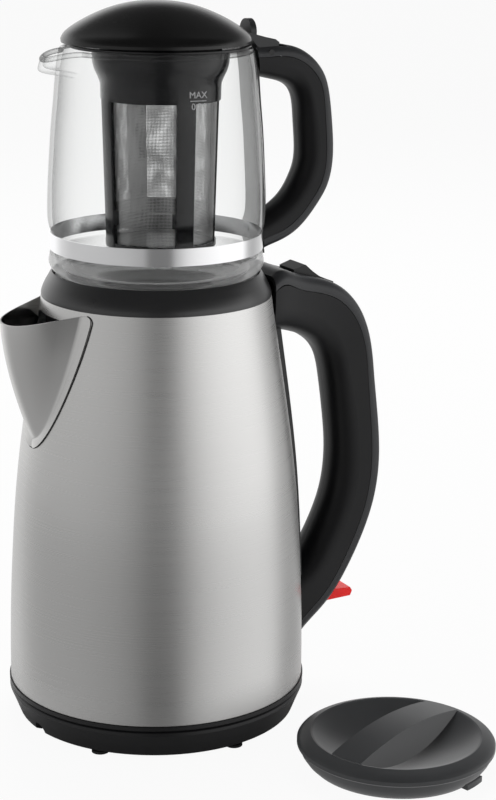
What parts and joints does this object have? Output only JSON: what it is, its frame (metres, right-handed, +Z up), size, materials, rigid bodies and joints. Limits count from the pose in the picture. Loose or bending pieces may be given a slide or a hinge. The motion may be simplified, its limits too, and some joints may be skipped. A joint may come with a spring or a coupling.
{
  "type": "automatic tea maker",
  "caption": "Electric steel kettle on a power base with a lidded glass teapot and infuser stacked on top, and the kettle lid lying beside it.",
  "frame": {"origin": "middle of the power base, on the table it stands on", "axes": "+Z up; +X towards both handles, -X towards both spouts; the XZ plane is the middle plane of kettle and teapot"},
  "size_m": [0.2187, 0.2534, 0.3777],
  "materials": {
    "satin_black": "fine satin, slightly glossy",
    "grip_black": "fine matte texture",
    "cap_grey": "satin, slightly lighter than the grip",
    "gloss_black": "polished",
    "brushed_steel": "brushed around the body, satin",
    "pressed_steel": "plain pressed sheet",
    "mesh_steel": "fine woven mesh",
    "screw_steel": "zinc plated",
    "sheath_aluminium": "dull",
    "contact_brass": "plain",
    "chrome": "bright polished",
    "clear_glass": "clear borosilicate",
    "clear_gauge": "clear moulding",
    "seal_rubber": "soft silicone",
    "foot_rubber": "matte",
    "red_translucent": "translucent, polished",
    "control_resin": "glass filled, dull",
    "lid_grey": "satin"
  },
  "bodies": {
    "power_base": {"base_shell": "satin_black", "base_bottom_plate": "satin_black", "base_screws": "screw_steel", "base_feet": "foot_rubber"},
    "connector": {"base_connector": "control_resin", "base_contacts": "contact_brass"},
    "kettle": {"bottom_cover": "satin_black", "cover_screws": "screw_steel", "heater_plate": "pressed_steel", "heating_element": "sheath_aluminium", "kettle_connector": "control_resin", "connector_pins": "contact_brass", "thermal_control": "control_resin", "kettle_body": "brushed_steel", "spout": "brushed_steel", "spout_filter": "satin_black", "filter_mesh": "mesh_steel", "collar": "satin_black", "collar_gasket": "seal_rubber", "handle_spine": "satin_black", "water_gauge": "clear_gauge", "gauge_seal": "seal_rubber", "handle_studs": "screw_steel", "handle_nuts": "screw_steel", "kettle_grip": "grip_black", "kettle_cap": "cap_grey", "lever_pin": "screw_steel", "lever_spring": "screw_steel", "lever_seat": "control_resin", "switch_pin": "screw_steel", "switch_housing": "control_resin", "steam_bimetal": "contact_brass", "indicator_lamp": "clear_gauge"},
    "release_lever": {"release_lever": "satin_black"},
    "switch": {"switch_lever": "red_translucent"},
    "teapot": {"teapot_glass": "clear_glass", "chrome_band": "chrome", "teapot_spine": "satin_black", "band_screw": "chrome", "teapot_grip": "grip_black", "teapot_cap": "cap_grey", "lid_pin": "chrome", "infuser_frame": "satin_black", "infuser_mesh": "mesh_steel"},
    "teapot_lid": {"lid_dome": "gloss_black", "lid_inner": "satin_black", "lid_arm": "satin_black"},
    "kettle_lid": {"loose_lid_top": "lid_grey", "loose_lid_skirt": "lid_grey", "loose_lid_seal": "seal_rubber"}
  },
  "joints": [
    {"name": "kettle_turn", "type": "hinge", "parent": "power_base", "child": "connector", "pos_m": [0, 0, 0.02], "axis": [0, 0, 1], "continuous": true},
    {"name": "kettle_lift", "type": "slide", "parent": "connector", "child": "kettle", "axis": [0, 0, 1], "range_m": [0, 0.05]},
    {"name": "teapot_lift", "type": "slide", "parent": "kettle", "child": "teapot", "axis": [0, 0, 1], "range_m": [0, 0.05]},
    {"name": "teapot_lid_hinge", "type": "hinge", "parent": "teapot", "child": "teapot_lid", "pos_m": [0.0603, 0, 0.3506], "axis": [0, 1, 0], "range_deg": [0, 95]},
    {"name": "release_lever_hinge", "type": "hinge", "parent": "kettle", "child": "release_lever", "pos_m": [0.0975, 0, 0.222], "axis": [0, -1, 0], "range_deg": [0, 5], "stiffness_Nm_per_rad": 0.5, "springref_deg": -5.73},
    {"name": "switch_hinge", "type": "hinge", "parent": "kettle", "child": "switch", "pos_m": [0.091, 0, 0.0505], "axis": [0, 1, 0], "range_deg": [0, 8]},
    {"name": "kettle_lid_lift", "type": "slide", "parent": "power_base", "child": "kettle_lid", "axis": [0, 0, 1], "range_m": [0, 0.012]}
  ]
}
